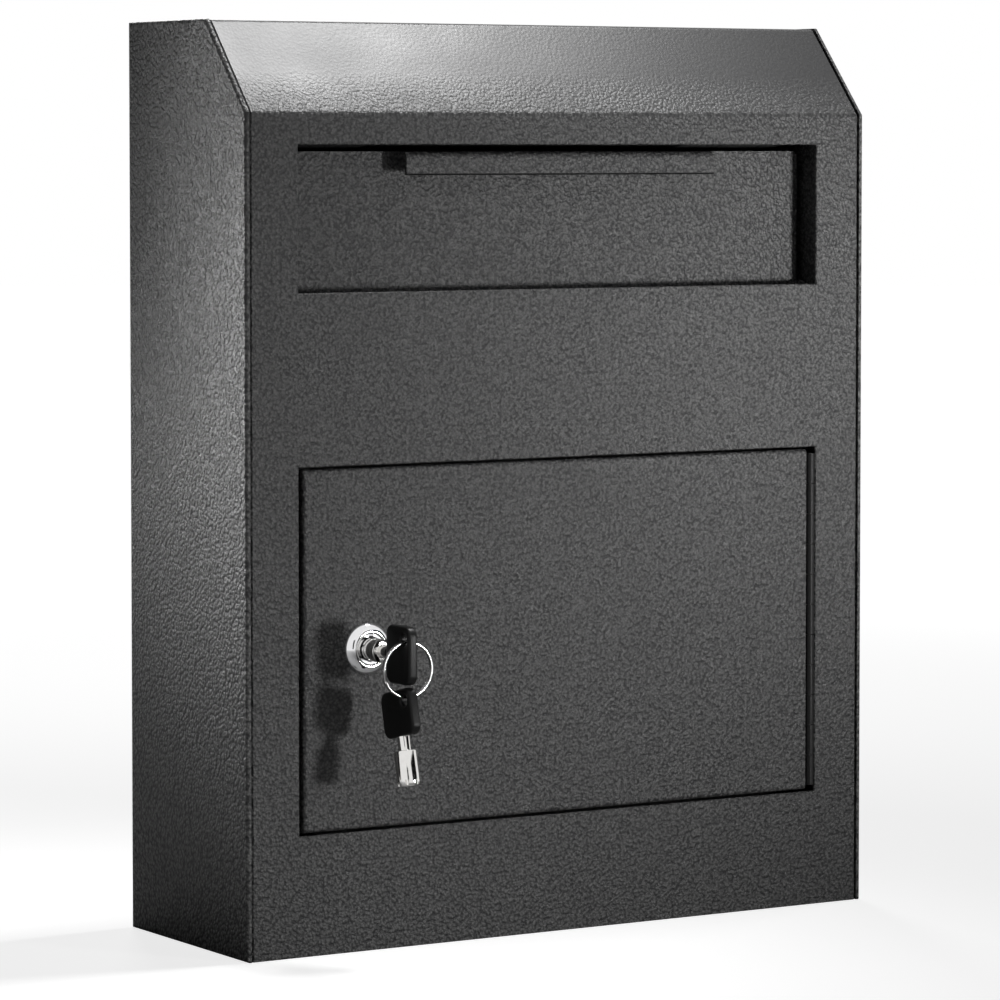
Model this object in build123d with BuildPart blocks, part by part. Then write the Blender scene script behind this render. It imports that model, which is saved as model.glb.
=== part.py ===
from build123d import *
from math import atan2, cos, hypot, radians, sin, tan
import os

# Wall-mounted key drop box in folded sheet steel: a tilt-out hopper behind the upper window,
# a lockable door on a piano hinge below it.
# Millimetres. X to the right as seen from the front, Y from front to back, Z up.
# The origin is the middle of the cabinet's underside.

os.makedirs("parts", exist_ok=True)

# ---- Cabinet
box_width = 305.0
box_depth = 102.0
box_height = 381.0
hood_rise = 38.0  # from the fold at the top of the upright front up to the flat top
slant_run = 34.0  # how far back the hood leans over that height
sheet = 1.5  # gauge of the folded sheet
side_gauge = 2.0  # gauge of the two side panels
shell_inset = 0.4  # the side panels' edges stand this far proud of the shell between them
bend = 1.5  # inside radius of every fold
arris = 0.4  # chamfer of cut edges that a hand can reach
side_arris = 1.2  # rounding round the outside of the side panels
seam_arris = 1.2  # chamfer of the shell beside each side panel, which makes the welded seams
face_margin = 24.5  # beside the window and the door opening, from the cabinet's outside

# ---- Wall mounting holes in the back panel
wall_hole_radius = 4.0
wall_hole_span_x = 200.0
wall_hole_span_z = 130.0

# ---- Window in the front
window_height = 60.0
window_drop = 13.0  # from the fold down to the window's top edge

# ---- Door opening and door
opening_height = 150.0
sill_height = 49.5  # from the underside up to the opening
door_gap = 1.0  # above and below the door
latch_gap = 2.0  # beside the door's free edge
door_lip = 14.0  # depth of the door's folded edges
door_corner = 1.8  # outside radius of the door's folds
stop_gap = 0.3  # the closed door stands this far off its stops
stop_lap = 9.0  # how far the stops reach behind the door
weld_flange = 14.0  # width of the flanges welded behind the front

# ---- Piano hinge
knuckle_radius = 1.9
knuckle_pitch = 12.8
hinge_pin_radius = 0.85
running_gap = 0.05  # radial clearance of a pin in its bore
hinge_side_gap = 0.5  # barrel to the opening's edge, and barrel to the door
leaf_thickness = 1.0
leaf_width = 15.0
knuckle_gap = 0.3

# ---- Tubular cam lock
lock_inset = 31.5  # lock axis from the opening's free side
bezel_radius = 10.75
bezel_rim = 1.2
bezel_height = 4.0
bezel_face_radius = 7.6
housing_radius = 9.0
housing_flats = 16.0
plug_radius = 6.2
plug_recess = 0.4
keyway_outer = 5.3
keyway_inner = 3.3
keyway_depth = 9.0
lock_nut_flats = 24.0
lock_nut_height = 3.0
tail_square = 6.0
cam_thickness = 2.0
cam_gap = 0.5  # cam to the back of the strike
cam_hub_radius = 8.0
cam_tip_radius = 5.0
cam_lap = 5.0  # how far the cam reaches behind the strike
cam_stud_radius = 2.5
cam_nut_flats = 9.0
cam_nut_height = 3.5

# ---- Keys and ring
bow_length = 18.8
bow_width = 23.6
bow_thickness = 4.2
bow_corner = 4.0
tang_radius = 1.6  # of the metal moulded into the bow
tang_length = 9.0
neck_radius = 2.6
neck_length = 5.9
barrel_radius = 4.8
barrel_bore = 3.7
barrel_length = 14.0
barrel_bore_depth = 11.0
key_notch_count = 7
key_notch_width = 1.2
key_notch_depth = 0.45
nib_size = 1.4
key_inserted = 5.1
ring_hole_radius = 2.5
ring_hole_offset = 6.6  # from the key's axis
ring_hole_end = 4.8  # from the bow's outer end
ring_radius = 11.1
ring_wire = 0.9  # side of its square wire
ring_split = 8.0  # degrees missing from the front coil
ring_drop = 1.1  # the wire hangs this far off the centre of a bow's hole
spare_tilt = 13.0  # the hole is off the axis, so the spare key hangs aslant

# ---- Hopper behind the window
plate_setback = 12.6  # hopper plate behind the front
plate_top_gap = 2.8
hopper_side_gap = 1.5
pull_width = 152.0
pull_reach = 10.4
pull_height = 9.0
pivot_drop = 5.0  # pivot below the window's lower edge
pivot_lead = 3.0  # pivot ahead of the hopper plate
rod_radius = 2.5
ear_radius = 6.5
tray_drop = 4.0  # tray corner below the pivot
tray_length = 57.0
tray_fall = 3.0  # degrees below level, away from the user
wing_margin = 0.5
cheek_gap = 3.0  # wing to cheek, filled by a bush
cheek_margin = 3.5  # cheek beyond the shield
cheek_foot = 12.0  # cheek below the pivot
shield_gap = 2.8  # fishing shield outside the hopper's sweep
shield_arc = 62.0
shield_flange = 9.0
bush_radius = 5.0
clip_radius = 4.6
clip_thickness = 0.8
clip_mouth = 3.0
rod_end = 1.2

# ---- Places worked out from the sizes above
outer_bend = bend + sheet
front_face = -box_depth / 2 + shell_inset
front_inner = front_face + sheet
back_face = box_depth / 2
back_inner = back_face - sheet
inner_width = box_width - 2 * side_gauge
cut_width = box_width - 2 * face_margin
front_height = box_height - hood_rise
fold_turn = atan2(slant_run, hood_rise)
crown_turn = radians(90) - fold_turn
shell_fold_z = front_height - shell_inset * tan(fold_turn / 2)
shell_crown_y = -box_depth / 2 + slant_run + shell_inset * tan(crown_turn / 2)
shell_top = box_height - shell_inset

window_top = front_height - window_drop
window_mid = window_top - window_height / 2
window_bottom = window_top - window_height

opening_mid = sill_height + opening_height / 2
opening_top = sill_height + opening_height
latch_edge = -cut_width / 2
hinge_edge = cut_width / 2
hinge_x = hinge_edge - hinge_side_gap - knuckle_radius
hinge_y = front_inner + leaf_thickness - knuckle_radius
door_left = latch_edge + latch_gap
door_right = hinge_x - knuckle_radius - hinge_side_gap
door_width = door_right - door_left
door_height = opening_height - 2 * door_gap
door_back = front_face + door_lip
stop_face = door_back + stop_gap

lock_x = latch_edge + lock_inset
lock_z = opening_mid
cam_depth = door_lip + stop_gap + sheet + cam_gap
housing_length = cam_depth - stop_gap
cam_reach = lock_inset - stop_lap + cam_lap - cam_tip_radius
bezel_face = front_face - bezel_height

plate_face = front_face + plate_setback
plate_back = plate_face + sheet
plate_top = window_top - plate_top_gap
pivot_y = plate_face - pivot_lead
pivot_z = window_bottom - pivot_drop
wing_outer = cut_width / 2 - hopper_side_gap
wing_inner = wing_outer - sheet
cheek_inner = wing_outer + cheek_gap
cheek_outer = cheek_inner + sheet
wing_radius = plate_top - pivot_z - wing_margin
pull_front = plate_back - sheet - pull_reach
sweep_radius = hypot(pull_reach - pivot_lead, plate_top - pivot_z)
shield_radius = sweep_radius + shield_gap
shield_web = pivot_z + shield_radius
cheek_radius = shield_radius + sheet + cheek_margin


# ======================================================================= cabinet
with BuildPart() as side_panel_right:
    with BuildSketch(Plane.YZ.offset(box_width / 2 - side_gauge)):
        with BuildLine():
            Polyline(
                (-box_depth / 2, 0),
                (-box_depth / 2, front_height),
                (-box_depth / 2 + slant_run, box_height),
                (box_depth / 2, box_height),
                (box_depth / 2, 0),
                close=True,
            )
        make_face()
    extrude(amount=side_gauge)
    fillet(side_panel_right.faces().sort_by(Axis.X)[-1].edges(), radius=side_arris)
side_panel_right.part.label = "side_panel_right"
export_step(side_panel_right.part, "parts/side_panel_right.step")

with BuildPart() as side_panel_left:
    mirror(side_panel_right.part, about=Plane.YZ)
side_panel_left.part.label = "side_panel_left"
export_step(side_panel_left.part, "parts/side_panel_left.step")

with BuildPart() as back_panel:
    with BuildSketch(Plane.XZ.offset(-back_inner)):
        with Locations((0, (shell_top - sheet) / 2)):
            Rectangle(inner_width, shell_top - sheet)
        with Locations((0, opening_mid)):
            with GridLocations(wall_hole_span_x, wall_hole_span_z, 2, 2):
                Circle(wall_hole_radius, mode=Mode.SUBTRACT)
    extrude(amount=-sheet)
back_panel.part.label = "back_panel"
export_step(back_panel.part, "parts/back_panel.step")

with BuildPart() as bottom_panel:
    with BuildSketch(Plane.XY):
        with Locations((0, (front_inner + back_inner) / 2)):
            Rectangle(inner_width, back_inner - front_inner)
    extrude(amount=sheet)
bottom_panel.part.label = "bottom_panel"
export_step(bottom_panel.part, "parts/bottom_panel.step")

# Front, slanted hood and top are one folded sheet, welded between the side panels.
with BuildPart() as front_shell:
    with BuildSketch(Plane.YZ):
        with BuildLine():
            skin_line = FilletPolyline(
                (front_face, 0),
                (front_face, shell_fold_z),
                (shell_crown_y, shell_top),
                (back_face, shell_top),
                radius=outer_bend,
            )
            offset(amount=sheet, side=Side.RIGHT)
        make_face()
    extrude(amount=inner_width / 2, both=True)
    rims = front_shell.edges().filter_by(Axis.X, reverse=True)
    middles = [rim.position_at(0.5) for rim in rims]
    seams = [rim for rim, at in zip(rims, middles) if skin_line.distance_to((at.Y, at.Z)) < sheet / 2]
    chamfer(seams, length=seam_arris)
    with BuildSketch(Plane.XZ.offset(-front_face)):
        with Locations((0, window_mid)):
            Rectangle(cut_width, window_height)
        with Locations((0, opening_mid)):
            Rectangle(cut_width, opening_height)
    extrude(amount=-2 * sheet, mode=Mode.SUBTRACT)
    front_skin = front_shell.faces().filter_by(Plane.XZ).sort_by(Axis.Y)[0]
    chamfer([edge for wire in front_skin.inner_wires() for edge in wire.edges()], length=arris)
front_shell.part.label = "front_shell"
export_step(front_shell.part, "parts/front_shell.step")

# ---- Hopper cheeks, shield, rod, bushes and clips
with BuildPart() as cheek_right:
    with BuildSketch(Plane.XY.offset(pivot_z - cheek_foot)):
        with BuildLine():
            FilletPolyline(
                (cheek_outer + weld_flange, front_inner),
                (cheek_inner, front_inner),
                (cheek_inner, pivot_y + cheek_radius),
                radius=outer_bend,
            )
            offset(amount=sheet, side=Side.RIGHT)
        make_face()
    extrude(amount=cheek_foot + cheek_radius)
    with BuildSketch(Plane.YZ):
        with Locations((pivot_y, pivot_z)):
            Circle(cheek_radius)
            Circle(rod_radius + running_gap, mode=Mode.SUBTRACT)
    extrude(amount=box_width / 2, mode=Mode.INTERSECT)
cheek_right.part.label = "cheek_right"
export_step(cheek_right.part, "parts/cheek_right.step")

with BuildPart() as cheek_left:
    mirror(cheek_right.part, about=Plane.YZ)
cheek_left.part.label = "cheek_left"
export_step(cheek_left.part, "parts/cheek_left.step")

with BuildPart() as fishing_shield:
    with BuildSketch(Plane.YZ):
        with BuildLine():
            FilletPolyline(
                (front_inner, shield_web + shield_flange),
                (front_inner, shield_web),
                (pivot_y, shield_web),
                radius=outer_bend,
            )
            CenterArc((pivot_y, pivot_z), shield_radius, 90, -shield_arc)
            offset(amount=sheet, side=Side.LEFT)
        make_face()
    extrude(amount=cheek_inner, both=True)
fishing_shield.part.label = "fishing_shield"
export_step(fishing_shield.part, "parts/fishing_shield.step")

rod_half = cheek_outer + clip_thickness + rod_end
with BuildPart() as hopper_rod:
    with BuildSketch(Plane.YZ.offset(-rod_half)):
        with Locations((pivot_y, pivot_z)):
            Circle(rod_radius)
    extrude(amount=2 * rod_half)
    chamfer(hopper_rod.edges().filter_by(GeomType.CIRCLE), length=arris)
hopper_rod.part.label = "hopper_rod"
export_step(hopper_rod.part, "parts/hopper_rod.step")

for side_name, side_sign in (("right", 1), ("left", -1)):
    with BuildPart() as bush:
        with BuildSketch(Plane.YZ.offset(side_sign * cheek_inner)):
            with Locations((pivot_y, pivot_z)):
                Circle(bush_radius)
                Circle(rod_radius + running_gap, mode=Mode.SUBTRACT)
        extrude(amount=-side_sign * (cheek_gap - stop_gap))
    bush.part.label = f"rod_bush_{side_name}"
    export_step(bush.part, f"parts/rod_bush_{side_name}.step")

    with BuildPart() as clip:
        with BuildSketch(Plane.YZ.offset(side_sign * cheek_outer)):
            with Locations((pivot_y, pivot_z)):
                Circle(clip_radius)
                Circle(rod_radius + running_gap, mode=Mode.SUBTRACT)
            with Locations((pivot_y, pivot_z - clip_radius)):
                Rectangle(clip_mouth, 2 * clip_radius, mode=Mode.SUBTRACT)
        extrude(amount=side_sign * clip_thickness)
    clip.part.label = f"rod_clip_{side_name}"
    export_step(clip.part, f"parts/rod_clip_{side_name}.step")

# ---- Door stops and strike, folded Z strips welded behind the front
with BuildPart() as strike_rail:
    with BuildSketch(Plane.XY.offset(sill_height)):
        with BuildLine():
            FilletPolyline(
                (latch_edge - arris - weld_flange, front_inner),
                (latch_edge - arris, front_inner),
                (latch_edge - arris, stop_face),
                (latch_edge + stop_lap, stop_face),
                radius=[outer_bend, bend],
            )
            offset(amount=sheet, side=Side.LEFT)
        make_face()
    extrude(amount=opening_height)
strike_rail.part.label = "strike_rail"
export_step(strike_rail.part, "parts/strike_rail.step")

stop_left = latch_edge + stop_lap + sheet
stop_right = hinge_x - leaf_width
with BuildPart() as door_stop_top:
    with BuildSketch(Plane.YZ.offset(stop_left)):
        with BuildLine():
            FilletPolyline(
                (front_inner, opening_top + arris + weld_flange),
                (front_inner, opening_top + arris),
                (stop_face, opening_top + arris),
                (stop_face, opening_top - stop_lap),
                radius=[outer_bend, bend],
            )
            offset(amount=sheet, side=Side.LEFT)
        make_face()
    extrude(amount=stop_right - stop_left)
door_stop_top.part.label = "door_stop_top"
export_step(door_stop_top.part, "parts/door_stop_top.step")

with BuildPart() as door_stop_bottom:
    mirror(door_stop_top.part, about=Plane.XY.offset(opening_mid))
door_stop_bottom.part.label = "door_stop_bottom"
export_step(door_stop_bottom.part, "parts/door_stop_bottom.step")

# ======================================================================= piano hinge
hinge_length = door_height - 2 * (sheet + stop_gap)
knuckle_pairs = int((hinge_length / knuckle_pitch - 1) / 2)
knuckle_count = 2 * knuckle_pairs + 1
knuckle_step = hinge_length / knuckle_count
hinge_foot = opening_mid - hinge_length / 2
leaf_clear = knuckle_radius + running_gap + knuckle_gap
leaf_front = front_inner

for leaf_name, first, toward in (("hinge_leaf_frame", 0, 1), ("hinge_leaf_door", 1, -1)):
    with BuildPart() as leaf:
        with BuildSketch(Plane.XY.offset(hinge_foot)):
            with Locations((hinge_x + toward * (leaf_clear + leaf_width) / 2, leaf_front)):
                Rectangle(leaf_width - leaf_clear, leaf_thickness, align=(Align.CENTER, Align.MIN))
        extrude(amount=hinge_length)
        for knuckle in range(first, knuckle_count, 2):
            with BuildSketch(Plane.XY.offset(hinge_foot + knuckle * knuckle_step + knuckle_gap / 2)):
                with Locations((hinge_x, hinge_y)):
                    Circle(knuckle_radius)
                with Locations((hinge_x + toward * leaf_clear / 2, leaf_front)):
                    Rectangle(leaf_clear, leaf_thickness, align=(Align.CENTER, Align.MIN))
                with Locations((hinge_x, hinge_y)):
                    Circle(hinge_pin_radius + running_gap, mode=Mode.SUBTRACT)
            extrude(amount=knuckle_step - knuckle_gap)
    leaf.part.label = leaf_name
    export_step(leaf.part, f"parts/{leaf_name}.step")

with BuildPart() as hinge_pin:
    with BuildSketch(Plane.XY.offset(hinge_foot)):
        with Locations((hinge_x, hinge_y)):
            Circle(hinge_pin_radius)
    extrude(amount=hinge_length)
hinge_pin.part.label = "hinge_pin"
export_step(hinge_pin.part, "parts/hinge_pin.step")

# ======================================================================= door
with BuildPart() as door_panel:
    with BuildSketch(Plane.XZ.offset(-front_face)):
        with Locations((door_left, opening_mid)):
            Rectangle(door_width, door_height, align=(Align.MIN, Align.CENTER))
    extrude(amount=-door_lip)
    skin = door_panel.faces().sort_by(Axis.Y)[0]
    hinge_side = skin.edges().sort_by(Axis.X)[-1]
    fillet([edge for edge in skin.edges() if edge != hinge_side], radius=door_corner)
    back = door_panel.faces().sort_by(Axis.Y)[-1]
    hinge_end = door_panel.faces().sort_by(Axis.X)[-1]
    offset(amount=-sheet, openings=[back, hinge_end])
    with BuildSketch(Plane.XZ.offset(-front_face)):
        with Locations((lock_x, lock_z)):
            Circle(housing_radius + running_gap)
            Rectangle(
                housing_flats + 2 * running_gap, 4 * housing_radius, mode=Mode.INTERSECT
            )
    extrude(amount=-2 * sheet, mode=Mode.SUBTRACT)
door_panel.part.label = "door_panel"
export_step(door_panel.part, "parts/door_panel.step")

# ======================================================================= lock
lock_section = Plane(origin=(lock_x, front_face, lock_z), x_dir=(1, 0, 0), z_dir=(0, 0, 1))
lock_front = Plane(origin=(lock_x, front_face, lock_z), x_dir=(1, 0, 0), z_dir=(0, -1, 0))
lock_axis = Axis((lock_x, front_face, lock_z), (0, 1, 0))

with BuildPart() as lock_housing:
    with BuildSketch(lock_section):
        with BuildLine():
            Polyline(
                (plug_radius + running_gap, -bezel_height),
                (bezel_face_radius, -bezel_height),
                (bezel_radius, -bezel_rim),
                (bezel_radius, 0),
                (housing_radius, 0),
                (housing_radius, housing_length),
                (plug_radius + running_gap, housing_length),
                close=True,
            )
        make_face()
    revolve(axis=lock_axis)
    with BuildSketch(lock_front):
        Circle(2 * housing_radius)
        Rectangle(housing_flats, 4 * housing_radius, mode=Mode.SUBTRACT)
    extrude(amount=-housing_length, mode=Mode.SUBTRACT)
    chamfer(lock_housing.edges().filter_by(GeomType.CIRCLE).group_by(Axis.Y)[0], length=arris)
lock_housing.part.label = "lock_housing"
export_step(lock_housing.part, "parts/lock_housing.step")

lock_nut_radius = lock_nut_flats / 2 / cos(radians(30))
with BuildPart() as lock_nut:
    with BuildSketch(lock_front.offset(-sheet)):
        RegularPolygon(lock_nut_radius, 6)
        Circle(housing_radius + running_gap, mode=Mode.SUBTRACT)
    extrude(amount=-lock_nut_height)
lock_nut.part.label = "lock_nut"
export_step(lock_nut.part, "parts/lock_nut.step")

# The plug turns in the housing. Its square tail carries the cam.
tail_length = cam_depth - housing_length + cam_thickness
with BuildPart() as lock_plug:
    with BuildSketch(lock_front.offset(bezel_height - plug_recess)):
        Circle(plug_radius)
    extrude(amount=-(bezel_height - plug_recess + housing_length))
    with BuildSketch(lock_front.offset(bezel_height - plug_recess)):
        Circle(keyway_outer)
        Circle(keyway_inner, mode=Mode.SUBTRACT)
    extrude(amount=-keyway_depth, mode=Mode.SUBTRACT)
    with BuildSketch(lock_front.offset(bezel_height - plug_recess)):
        with Locations((0, (keyway_outer + plug_radius) / 2)):
            Rectangle(nib_size + 2 * arris, 2 * (plug_radius - keyway_outer))
    extrude(amount=-nib_size - arris, mode=Mode.SUBTRACT)
    with BuildSketch(lock_front.offset(-housing_length)):
        Rectangle(tail_square, tail_square)
    extrude(amount=-tail_length)
    with BuildSketch(lock_front.offset(-housing_length - tail_length)):
        Circle(cam_stud_radius)
    extrude(amount=-cam_nut_height - arris)
lock_plug.part.label = "lock_plug"
export_step(lock_plug.part, "parts/lock_plug.step")

# Unlocked, the cam points straight up, clear of the strike.
with BuildPart() as lock_cam:
    with BuildSketch(lock_front.offset(-cam_depth)):
        Circle(cam_hub_radius)
        with Locations((0, cam_reach)):
            Circle(cam_tip_radius)
        make_hull()
        Rectangle(tail_square + 2 * running_gap, tail_square + 2 * running_gap, mode=Mode.SUBTRACT)
    extrude(amount=-cam_thickness)
lock_cam.part.label = "lock_cam"
export_step(lock_cam.part, "parts/lock_cam.step")

cam_nut_radius = cam_nut_flats / 2 / cos(radians(30))
with BuildPart() as cam_nut:
    with BuildSketch(lock_front.offset(-cam_depth - cam_thickness)):
        RegularPolygon(cam_nut_radius, 6)
        Circle(cam_stud_radius + running_gap, mode=Mode.SUBTRACT)
    extrude(amount=-cam_nut_height)
cam_nut.part.label = "cam_nut"
export_step(cam_nut.part, "parts/cam_nut.step")


# ======================================================================= keys and ring
def make_bow(at: Plane) -> Part:
    """Plastic head of a key. The plane's Z runs along the key to its tip, its X to the ring hole."""
    broad = Plane(origin=at.origin, x_dir=at.x_dir, z_dir=at.y_dir)
    with BuildPart() as bow:
        with BuildSketch(broad.offset(-bow_thickness / 2)):
            with Locations((0, -bow_length / 2)):
                RectangleRounded(bow_width, bow_length, bow_corner)
            with Locations((ring_hole_offset, -ring_hole_end)):
                Circle(ring_hole_radius, mode=Mode.SUBTRACT)
        extrude(amount=bow_thickness)
        broad_faces = bow.faces().sort_by(Axis(at.origin, at.y_dir))
        chamfer([broad_faces[0].outer_wire().edges(), broad_faces[-1].outer_wire().edges()], length=arris)
        with BuildSketch(at.offset(bow_length)):
            Circle(tang_radius)
        extrude(amount=-tang_length, mode=Mode.SUBTRACT)
    return bow.part


def make_barrel(at: Plane) -> Part:
    """Metal part of a key: a tang moulded into the bow, a neck, then the hollow notched barrel."""
    with BuildPart() as barrel:
        with BuildSketch(at.offset(bow_length)):
            Circle(tang_radius)
        extrude(amount=-tang_length)
        with BuildSketch(at.offset(bow_length)):
            Circle(neck_radius)
        extrude(amount=neck_length)
        with BuildSketch(at.offset(bow_length + neck_length)):
            Circle(barrel_radius)
        extrude(amount=barrel_length)
        tip = at.offset(bow_length + neck_length + barrel_length)
        with BuildSketch(tip):
            Circle(barrel_bore)
        extrude(amount=-barrel_bore_depth, mode=Mode.SUBTRACT)
        with BuildSketch(tip):
            with PolarLocations(barrel_radius, key_notch_count, start_angle=90):
                Rectangle(2 * key_notch_depth, key_notch_width)
        extrude(amount=-2 * key_notch_width, mode=Mode.SUBTRACT)
        with BuildSketch(tip):
            with Locations((barrel_radius, 0)):
                Rectangle(2 * arris, nib_size)
        extrude(amount=-nib_size)
    return barrel.part


key_outer = bezel_face + key_inserted - barrel_length - neck_length - bow_length
key_plane = Plane(origin=(lock_x, key_outer, lock_z), x_dir=(0, 0, 1), z_dir=(0, 1, 0))
key_bow = make_bow(key_plane)
key_bow.label = "key_bow"
export_step(key_bow, "parts/key_bow.step")
key_barrel = make_barrel(key_plane)
key_barrel.label = "key_barrel"
export_step(key_barrel, "parts/key_barrel.step")

# The split ring hangs from the hole in the inserted key's bow: two coils of square wire, side by side.
ring_y = key_outer + ring_hole_end
ring_z = lock_z + ring_hole_offset - ring_drop - ring_radius
ring_axis = Axis((lock_x, ring_y, ring_z), (0, 1, 0))
ring_section = Plane(origin=(lock_x, ring_y, ring_z), x_dir=(1, 0, 0), z_dir=(0, 0, 1))
with BuildPart() as key_ring:
    with BuildSketch(ring_section):
        with Locations((ring_radius, ring_wire / 2)):
            Rectangle(ring_wire, ring_wire)
    revolve(axis=ring_axis)
    with BuildSketch(ring_section):
        with Locations((ring_radius, -ring_wire / 2)):
            Rectangle(ring_wire, ring_wire)
    revolve(axis=ring_axis, revolution_arc=360 - ring_split)
key_ring.part.label = "key_ring"
export_step(key_ring.part, "parts/key_ring.step")

# The spare key hangs from the bottom of the ring, its barrel down.
tilt = radians(spare_tilt)
spare_hole = Vector(lock_x, ring_y, ring_z - ring_radius - ring_drop)
spare_down = Vector(0, -sin(tilt), -cos(tilt))
spare_across = Vector(0, -cos(tilt), sin(tilt))
spare_origin = spare_hole - spare_across * ring_hole_offset - spare_down * ring_hole_end
spare_plane = Plane(origin=spare_origin, x_dir=spare_across, z_dir=spare_down)
spare_bow = make_bow(spare_plane)
spare_bow.label = "spare_bow"
export_step(spare_bow, "parts/spare_bow.step")
spare_barrel = make_barrel(spare_plane)
spare_barrel.label = "spare_barrel"
export_step(spare_barrel, "parts/spare_barrel.step")

# ======================================================================= hopper
# One folded sheet: a pull lip turned forward and down, the plate, and the tray behind it.
tray_lean = radians(tray_fall)
tray_corner_z = pivot_z - tray_drop
with BuildPart() as hopper_pan:
    with BuildSketch(Plane.YZ):
        with BuildLine():
            FilletPolyline(
                (plate_face, plate_top),
                (plate_face, tray_corner_z),
                (plate_face + tray_length * cos(tray_lean), tray_corner_z - tray_length * sin(tray_lean)),
                radius=outer_bend,
            )
            offset(amount=sheet, side=Side.LEFT)
        make_face()
    extrude(amount=wing_inner, both=True)
    with BuildSketch(Plane.YZ):
        with BuildLine():
            FilletPolyline(
                (plate_back, plate_top - 2 * pull_height),
                (plate_back, plate_top),
                (pull_front, plate_top),
                (pull_front, plate_top - pull_height),
                radius=outer_bend,
            )
            offset(amount=sheet, side=Side.LEFT)
        make_face()
    extrude(amount=pull_width / 2, both=True)
hopper_pan.part.label = "hopper_pan"
export_step(hopper_pan.part, "parts/hopper_pan.step")

with BuildPart() as hopper_wing_right:
    with BuildSketch(Plane.YZ.offset(wing_inner)):
        with Locations((pivot_y, pivot_z)):
            Circle(wing_radius)
        with BuildLine():
            Polyline(
                (plate_face, tray_corner_z),
                (plate_face, box_height),
                (back_face, box_height),
                (back_face, tray_corner_z - (back_face - plate_face) * tan(tray_lean)),
                close=True,
            )
        make_face(mode=Mode.INTERSECT)
        with Locations((pivot_y, pivot_z)):
            Circle(ear_radius)
            Circle(rod_radius + running_gap, mode=Mode.SUBTRACT)
    extrude(amount=sheet)
hopper_wing_right.part.label = "hopper_wing_right"
export_step(hopper_wing_right.part, "parts/hopper_wing_right.step")

with BuildPart() as hopper_wing_left:
    mirror(hopper_wing_right.part, about=Plane.YZ)
hopper_wing_left.part.label = "hopper_wing_left"
export_step(hopper_wing_left.part, "parts/hopper_wing_left.step")
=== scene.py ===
"""Looks of the key drop box: finishes, fine metal and plastic pieces, studio and camera.

Everything is in metres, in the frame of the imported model: X to the right as seen from the front,
Y from the front to the wall, Z up, with the origin in the middle of the cabinet's underside.
"""

import logging
import math
from collections.abc import Sequence
from dataclasses import dataclass, field
from enum import Enum

import bmesh
import bpy
from mathutils import Matrix, Vector


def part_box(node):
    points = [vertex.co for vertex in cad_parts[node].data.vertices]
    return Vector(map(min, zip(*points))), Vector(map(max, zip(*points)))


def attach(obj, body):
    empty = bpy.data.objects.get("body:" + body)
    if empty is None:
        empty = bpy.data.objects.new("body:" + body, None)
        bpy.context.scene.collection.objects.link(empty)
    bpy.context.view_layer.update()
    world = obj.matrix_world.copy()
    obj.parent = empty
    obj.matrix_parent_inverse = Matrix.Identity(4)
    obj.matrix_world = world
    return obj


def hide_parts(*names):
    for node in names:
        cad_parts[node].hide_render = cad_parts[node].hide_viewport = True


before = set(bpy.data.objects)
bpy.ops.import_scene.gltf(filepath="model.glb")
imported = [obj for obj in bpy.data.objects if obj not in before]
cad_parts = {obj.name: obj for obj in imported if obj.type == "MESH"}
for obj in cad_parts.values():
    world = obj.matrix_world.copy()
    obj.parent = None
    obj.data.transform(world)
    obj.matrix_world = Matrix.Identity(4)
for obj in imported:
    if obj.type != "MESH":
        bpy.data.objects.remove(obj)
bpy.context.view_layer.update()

log = logging.getLogger("key_drop_box")

MM = 0.001
FULL_TURN = 2 * math.pi
ROUND = 360  # degrees
WELD = 0.001 * MM
NOISE_SWING = (0.3, 0.7)  # where most of a noise's values lie

Colour = tuple[float, float, float]
Point = tuple[float, float, float]
Range = tuple[float, float]
Socket = bpy.types.NodeSocket


class Body(Enum):
    """The moving bodies that the pieces ride on."""

    HOPPER = "hopper"
    DOOR = "door"
    KEY = "key"
    RING = "ring"
    SPARE_KEY = "spare_key"


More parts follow.
